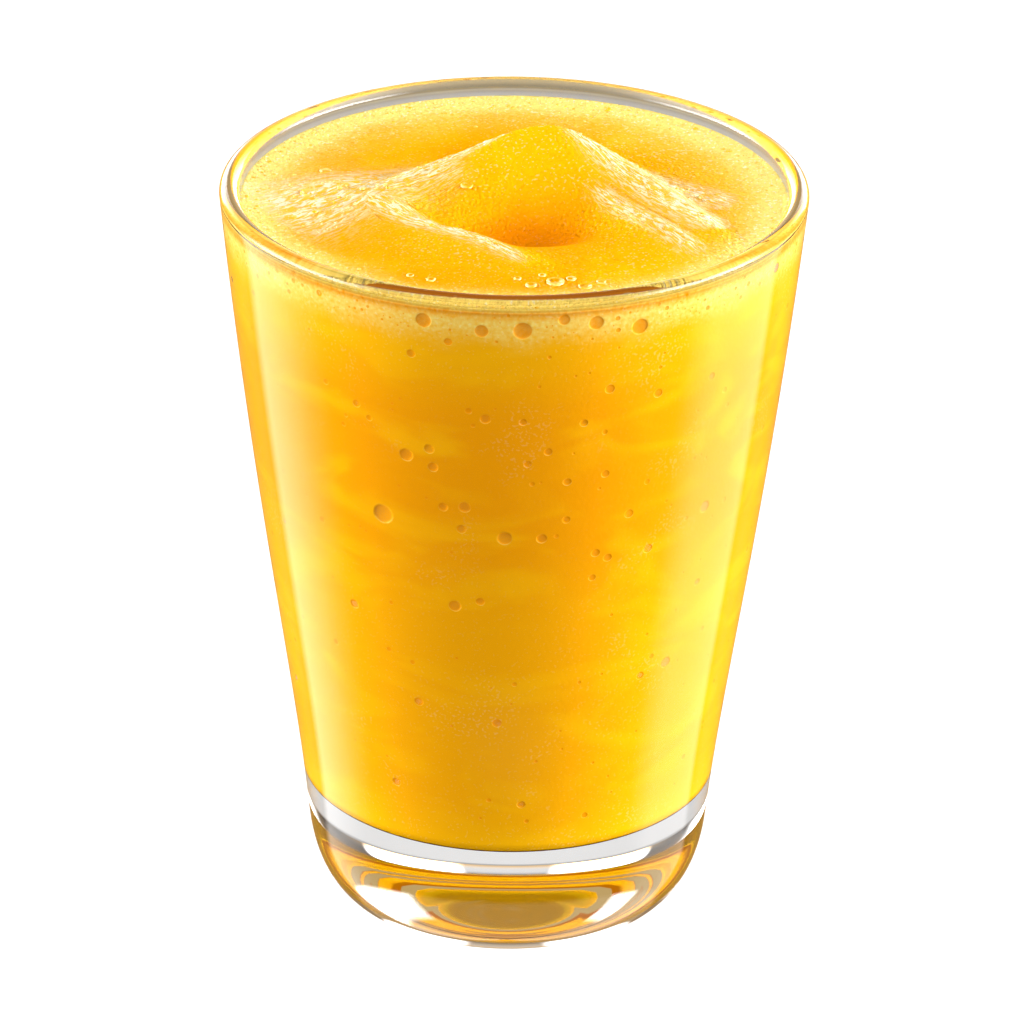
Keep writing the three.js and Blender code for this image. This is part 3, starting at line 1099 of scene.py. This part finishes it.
        # Painted light on the side: paler puree high up and lower down, where more light falls, and less of
        # it inside bubbles.
        side_painted_light = sum(share * smoothstep(side_height, low, high) for share, low, high in LIT_HEIGHTS)
        side_painted_light[: len(flat)] = side_painted_light[: len(flat)] * (1 - BUBBLE_LOSS * inside)
        add_share(piece, "painted_light", np.concatenate([painted_light, side_painted_light]))
        below = len(verts) - first
        add_share(piece, "streak", np.concatenate([streak, np.zeros(below)]))
        add_share(piece, "flow", np.vstack([flow, np.zeros((below, 3))]))
        drop_loose_points(piece)
        move_to_body(piece, "mango_smoothie", "mango_smoothie")
        return {"FINISHED"}


def drop_loose_points(piece):
    """Removes points that no face uses."""
    mesh = piece.data
    used = np.zeros(len(mesh.vertices), bool)
    corners = np.empty(len(mesh.loops), np.int32)
    mesh.loops.foreach_get("vertex_index", corners)
    used[corners] = True
    work = bmesh.new()
    work.from_mesh(mesh)
    work.verts.ensure_lookup_table()
    bmesh.ops.delete(work, geom=[work.verts[i] for i in np.flatnonzero(~used)], context="VERTS")
    work.to_mesh(mesh)
    work.free()


FLOOR_RADIUS = 4.0
FLOOR_SIDES = 64
FLOOR_DROP = 0.0002
SENSOR_WIDTH = 36
CLIP_END = 50
CAMERA_PIVOT = Vector((0, 0, 0.05825))
AIM = Vector((0.0002, 0, 0.0628))

# Soft boxes in degrees: direction, half width of the core, soft edge, lowest and highest point.
RIGHT_BOX = (80, 14, 26, 0, 29)
LEFT_BOX = (-89, 14, 26, 0, 29)
KICKERS = (158, 9, 5, 0, 22)
BACK_BOX = (180, 14, 6, 0, 18)
LOWER_EDGE = 3
UPPER_EDGE = 10
SKY_EDGES = (-4, 6)

# What the glass mirrors below the horizon, in degrees of turn and of rise: strips, a warm back, cards.
MIRROR_EDGES = (-2, -10)
LEFT_STRIP = ((-82, -124), (-138, -129))
RIGHT_STRIP = ((74, 96), (134, 127))
MIRROR_DARK = 0.03
WARM_TURN = (128, 150)
WARM_RISE = (6, -2)
WARM_STRENGTH = 0.45
WARM_TINT = (1, 0.6, 0.2, 1)
LEFT_CARD = (98, (36, 26))
RIGHT_CARD = (86, (14, 8))
CARD_LOW = (-64, -57)
CARD_HIGH = (-43, -46)
CARD_STRENGTH = 20.0
STEEP_EDGES = (-43, -47)
STEEP_STRENGTH = 0.8

# Floor: nearness to the viewer in metres, and its shade there and beyond, for each kind of ray.
NEAR_EDGES = (-0.09, -0.03)
FAR_EDGES = (0.1, 0.22)
DULL_SHADES = (0.14, 0.34)
PALE_SHADES = (0.15, 0.85)
FAR_SHADES = (1.0, 0.55)
PAPER = (0.55, 0.55, 0.55, 1)
PAPER_GLOW = 0.55


def world_light(scene, settings):
    """Soft boxes at both sides and two kickers behind. Below the horizon is what the glass mirrors."""
    world = bpy.data.worlds.new("studio")
    scene.world = world
    world.use_nodes = True
    tree = ShaderTree(world.node_tree)
    output = tree.node("ShaderNodeOutputWorld")
    way = tree.node("ShaderNodeTexCoord").outputs["Generated"]
    x, y, z = tree.node("ShaderNodeSeparateXYZ", {"Vector": way}).outputs
    to_degrees = 180 / math.pi
    turn = tree.math("MULTIPLY", tree.math("ARCTAN2", x, tree.math("MULTIPLY", y, -1)), to_degrees)
    either_side = tree.math("ABSOLUTE", turn)
    rise = tree.math("MULTIPLY", tree.math("ARCSINE", z), to_degrees)

    def soft_box(angle, middle, core, edge, low, high):
        """A patch of sky round a direction, soft at its sides, between two heights."""
        off = tree.math("ABSOLUTE", tree.math("SUBTRACT", angle, middle))
        patch = tree.ramp(off, core + edge, core)
        patch = tree.math("MULTIPLY", patch, tree.ramp(rise, low - LOWER_EDGE, low + LOWER_EDGE))
        return tree.math("MULTIPLY", patch, tree.ramp(rise, high + UPPER_EDGE, high - UPPER_EDGE))

    light = tree.ramp(rise, *SKY_EDGES, 0.0, settings.fill_light)
    parts = (
        (soft_box(turn, *RIGHT_BOX), settings.right_light),
        (soft_box(turn, *LEFT_BOX), settings.left_light),
        (soft_box(either_side, *KICKERS), settings.kicker_light),
        (soft_box(either_side, *BACK_BOX), settings.back_light),
    )
    for patch, strength in parts:
        light = tree.math("MULTIPLY_ADD", patch, strength, light)
    below = tree.ramp(rise, *MIRROR_EDGES)
    left_mirror = tree.math("MULTIPLY", *(tree.ramp(turn, *edge) for edge in LEFT_STRIP))
    right_mirror = tree.math("MULTIPLY", *(tree.ramp(turn, *edge) for edge in RIGHT_STRIP))
    mirrored = tree.math("MULTIPLY", left_mirror, settings.left_mirror)
    mirrored = tree.math("MULTIPLY_ADD", right_mirror, settings.right_mirror, mirrored)
    mirrored = tree.math("ADD", mirrored, MIRROR_DARK)
    light = tree.math("MULTIPLY_ADD", mirrored, below, light)
    behind = tree.math("MULTIPLY", tree.ramp(either_side, *WARM_TURN), tree.ramp(rise, *WARM_RISE))
    light = tree.math("MULTIPLY_ADD", behind, WARM_STRENGTH, light)
    off_left = tree.math("ABSOLUTE", tree.math("ADD", turn, LEFT_CARD[0]))
    off_right = tree.math("ABSOLUTE", tree.math("SUBTRACT", turn, RIGHT_CARD[0]))
    cards = tree.math("ADD", tree.ramp(off_left, *LEFT_CARD[1]), tree.ramp(off_right, *RIGHT_CARD[1]))
    steep = tree.math("MULTIPLY", tree.ramp(rise, *CARD_LOW), tree.ramp(rise, *CARD_HIGH))
    cards = tree.math("MULTIPLY", cards, steep)
    light = tree.math("ADD", light, tree.ramp(rise, *STEEP_EDGES, 0.0, STEEP_STRENGTH))
    light = tree.math("MULTIPLY_ADD", cards, CARD_STRENGTH, light)
    path = tree.node("ShaderNodeLightPath")
    shown = tree.node("ShaderNodeMix", data_type="FLOAT")
    tree.feed(shown.inputs[0], path.outputs["Is Camera Ray"])
    tree.feed(shown.inputs[2], light)
    tree.feed(shown.inputs[3], 1.0)
    tint = tree.blend(behind, WHITE, WARM_TINT)
    tint = tree.blend(path.outputs["Is Camera Ray"], tint, WHITE)
    background = tree.node("ShaderNodeBackground", {"Color": tint, "Strength": shown.outputs[0]})
    tree.feed(output.inputs[0], background.outputs[0])


def pale_floor():
    """White paper to the viewer, pale through the glass, and a duller sheet for what lights the drink."""
    material, tree, output = new_material("pale_floor")
    place = tree.node("ShaderNodeTexCoord").outputs["Object"]
    ahead = tree.node("ShaderNodeSeparateXYZ", {"Vector": place}).outputs[1]
    dull = tree.node("ShaderNodeBsdfDiffuse", {"Color": tree.ramp(ahead, *NEAR_EDGES, *DULL_SHADES)})
    near = tree.ramp(ahead, *NEAR_EDGES, *PALE_SHADES)
    through = tree.math("MULTIPLY", near, tree.ramp(ahead, *FAR_EDGES, *FAR_SHADES))
    pale = tree.node("ShaderNodeEmission", {"Strength": through})
    paper = tree.node("ShaderNodeBsdfDiffuse", {"Color": PAPER})
    glow = tree.node("ShaderNodeEmission", {"Strength": PAPER_GLOW})
    white = tree.node("ShaderNodeAddShader")
    tree.feed(white.inputs[0], paper.outputs[0])
    tree.feed(white.inputs[1], glow.outputs[0])
    path = tree.node("ShaderNodeLightPath")
    shown = dull
    for ray, shader in (("Is Transmission Ray", pale), ("Is Camera Ray", white)):
        mix = tree.node("ShaderNodeMixShader")
        for socket, value in zip(mix.inputs, (path.outputs[ray], shown.outputs[0], shader.outputs[0])):
            tree.feed(socket, value)
        shown = mix
    tree.feed(output.inputs["Surface"], shown.outputs[0])
    return material


class SMOOTHIE_OT_make_froth(bpy.types.Operator):
    """Make the small glossy bubbles that stand on the froth and the foam"""

    bl_idname = "smoothie.make_froth"
    bl_label = "Make froth bubbles"

    def execute(self, context):
        shape = GlassShape(context.scene.smoothie_glass)
        sizes = context.scene.smoothie_drink
        rng = random.Random(sizes.seed + 1)
        brim = float(shape.bowl_radius(sizes.level / MM))
        x, y, _, _ = disc_grid(TOP_CELLS, brim - DOME_MARGIN)
        height, froth, streak, _, _, _ = WhippedTop(sizes, brim).surface(x, y)
        crowd = froth**FROTH_CROWD + FOAM_CROWD * streak**FOAM_CROWD_POWER
        chosen = rng.choices(range(len(x)), weights=crowd.tolist(), k=sizes.top_bubbles)
        domes = []
        for i in chosen:
            domes.append((x[i], y[i], height[i], DOME_SMALL + DOME_SPAN * rng.random() ** DOME_BIAS))
        for middle_x, middle_y, radius in TOP_BUBBLES:
            nearest = int(np.argmin(np.hypot(x - middle_x, y - middle_y)))
            domes.append((middle_x, middle_y, height[nearest], radius))
        verts, faces = [], []
        for middle_x, middle_y, z, radius in domes:
            lower = None
            rings = CUP_RINGS if radius > LARGE_BUBBLE else DOME_RINGS
            for share, rise in rings:
                start = len(verts)
                angles = np.arange(DOME_SIDES) * FULL_TURN / DOME_SIDES
                ring = np.c_[share * np.cos(angles), share * np.sin(angles), np.full(DOME_SIDES, rise)]
                verts += (ring * radius + (middle_x, middle_y, z)).tolist()
                upper = list(range(start, start + DOME_SIDES))
                if lower:
                    faces += ring_faces(lower, upper)
                lower = upper
            verts.append((middle_x, middle_y, z + rings[-1][1] * radius))
            faces += [(lower[i], lower[(i + 1) % DOME_SIDES], len(verts) - 1) for i in range(DOME_SIDES)]
        piece = mesh_object("froth_bubbles", verts, faces, [froth_bubble(context.scene.smoothie_colours)])
        move_to_body(piece, "mango_smoothie")
        return {"FINISHED"}


class SMOOTHIE_OT_make_stage(bpy.types.Operator):
    """Make the floor, the light and the camera"""

    bl_idname = "smoothie.make_stage"
    bl_label = "Make stage"

    def execute(self, context):
        scene = context.scene
        settings = scene.smoothie_stage
        angles = np.arange(FLOOR_SIDES) * FULL_TURN / FLOOR_SIDES
        rim = np.c_[np.cos(angles), np.sin(angles), np.zeros(FLOOR_SIDES)] * FLOOR_RADIUS / MM
        floor = mesh_object("floor", rim, [tuple(range(FLOOR_SIDES))], [pale_floor()])
        floor.location.z = -FLOOR_DROP
        floor.visible_glossy = False

        world_light(scene, settings)

        camera = bpy.data.objects.new("camera", bpy.data.cameras.new("camera"))
        scene.collection.objects.link(camera)
        back = Vector((0, -math.cos(settings.pitch), math.sin(settings.pitch)))
        place = CAMERA_PIVOT + back * settings.distance
        turn = (AIM - place).to_track_quat("-Z", "Y").to_matrix().to_4x4()
        roll = Matrix.Rotation(settings.roll, 4, "Z")
        camera.matrix_world = Matrix.Translation(place) @ turn @ roll
        camera.data.sensor_width = SENSOR_WIDTH
        camera.data.lens = settings.lens
        camera.data.clip_end = CLIP_END
        scene.camera = camera
        scene.view_settings.view_transform = "Standard"
        return {"FINISHED"}


class SMOOTHIE_PT_panel(bpy.types.Panel):
    """Sizes, colours and steps of the smoothie"""

    bl_idname = "SMOOTHIE_PT_panel"
    bl_label = "Mango smoothie"
    bl_space_type = "VIEW_3D"
    bl_region_type = "UI"
    bl_category = "Smoothie"

    def draw(self, context):
        for group in (name for name, _ in GROUPS):
            box = self.layout.box()
            settings = getattr(context.scene, group)
            for key in settings.bl_rna.properties.keys():
                if key not in {"rna_type", "name"}:
                    box.prop(settings, key)
        for operator in OPERATORS:
            self.layout.operator(operator.bl_idname)


GROUPS = (
    ("smoothie_glass", SmoothieGlassSizes),
    ("smoothie_drink", SmoothieDrinkSizes),
    ("smoothie_colours", SmoothieColours),
    ("smoothie_stage", SmoothieStageSettings),
)
OPERATORS = (
    SMOOTHIE_OT_make_glass,
    SMOOTHIE_OT_make_drink,
    SMOOTHIE_OT_make_froth,
    SMOOTHIE_OT_make_stage,
)


def register():
    for name, group in GROUPS:
        bpy.utils.register_class(group)
        setattr(bpy.types.Scene, name, PointerProperty(type=group))
    for operator in OPERATORS:
        bpy.utils.register_class(operator)
    bpy.utils.register_class(SMOOTHIE_PT_panel)


def unregister():
    bpy.utils.unregister_class(SMOOTHIE_PT_panel)
    for operator in reversed(OPERATORS):
        bpy.utils.unregister_class(operator)
    for name, group in reversed(GROUPS):
        delattr(bpy.types.Scene, name)
        bpy.utils.unregister_class(group)


def main():
    register()
    bpy.ops.smoothie.make_glass()
    bpy.ops.smoothie.make_drink()
    bpy.ops.smoothie.make_froth()
    bpy.ops.smoothie.make_stage()


if __name__ == "__main__":
    main()
